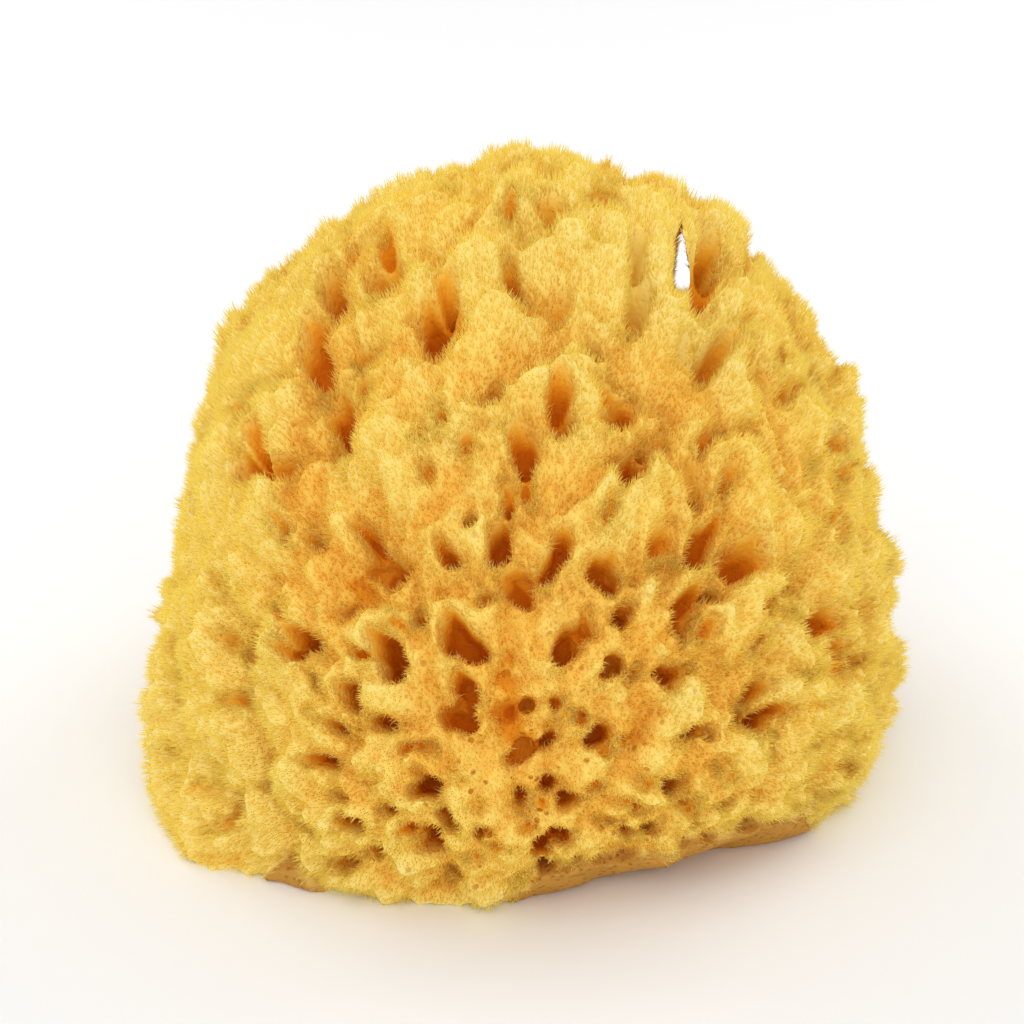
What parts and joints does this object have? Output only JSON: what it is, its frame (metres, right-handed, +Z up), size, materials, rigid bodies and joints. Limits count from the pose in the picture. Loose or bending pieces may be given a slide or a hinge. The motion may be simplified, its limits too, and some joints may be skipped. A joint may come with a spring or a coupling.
{
  "type": "natural bath sponge",
  "caption": "Dried natural sea sponge: a woolly dome of fine fibres and open canals, trimmed flat underneath so that it rests on its base.",
  "frame": {"origin": "middle of the outline seen from above, on the flat trimmed face that it rests on", "axes": "+Z up, away from the trimmed face; +X along the sponge's width; -Y towards its front, where the wide canals open"},
  "size_m": [0.1536, 0.142, 0.1266],
  "materials": {
    "sponge_fibre": "matt, golden yellow spongin fibre, darker orange brown in the gaps"
  },
  "bodies": {
    "root": {"sponge": "sponge_fibre"}
  },
  "joints": []
}
